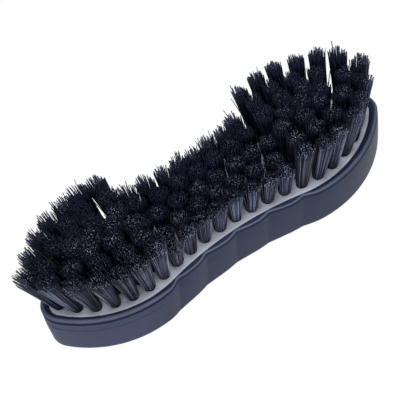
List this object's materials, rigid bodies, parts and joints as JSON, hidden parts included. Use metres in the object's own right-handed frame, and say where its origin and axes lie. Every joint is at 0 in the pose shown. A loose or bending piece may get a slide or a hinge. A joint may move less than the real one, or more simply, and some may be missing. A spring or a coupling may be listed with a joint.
{
  "type": "hand scrubbing brush",
  "caption": "Hourglass hand brush with a soft grip jacket, finger pads at the waist and stepped tufts that fan out at both ends.",
  "frame": {"origin": "middle of the flat back that the brush lies on", "axes": "+X along the brush, +Z from the back towards the bristle tips"},
  "size_m": [0.1959, 0.0604, 0.0606],
  "materials": {
    "soft_grip": "satin moulded soft grip, dark blue grey",
    "block": "satin light grey",
    "bristle": "black synthetic filament"
  },
  "bodies": {
    "root": {"grip_jacket": "soft_grip", "brush_block": "block", "bristle_row_middle": "bristle", "bristle_row_left_1": "bristle", "bristle_row_left_2": "bristle", "bristle_row_left_3": "bristle", "bristle_row_left_4": "bristle", "bristle_row_left_5": "bristle", "bristle_row_left_6": "bristle", "bristle_row_left_7": "bristle", "bristle_row_left_8": "bristle", "bristle_row_left_9": "bristle", "bristle_row_right_1": "bristle", "bristle_row_right_2": "bristle", "bristle_row_right_3": "bristle", "bristle_row_right_4": "bristle", "bristle_row_right_5": "bristle", "bristle_row_right_6": "bristle", "bristle_row_right_7": "bristle", "bristle_row_right_8": "bristle", "bristle_row_right_9": "bristle"}
  },
  "joints": []
}
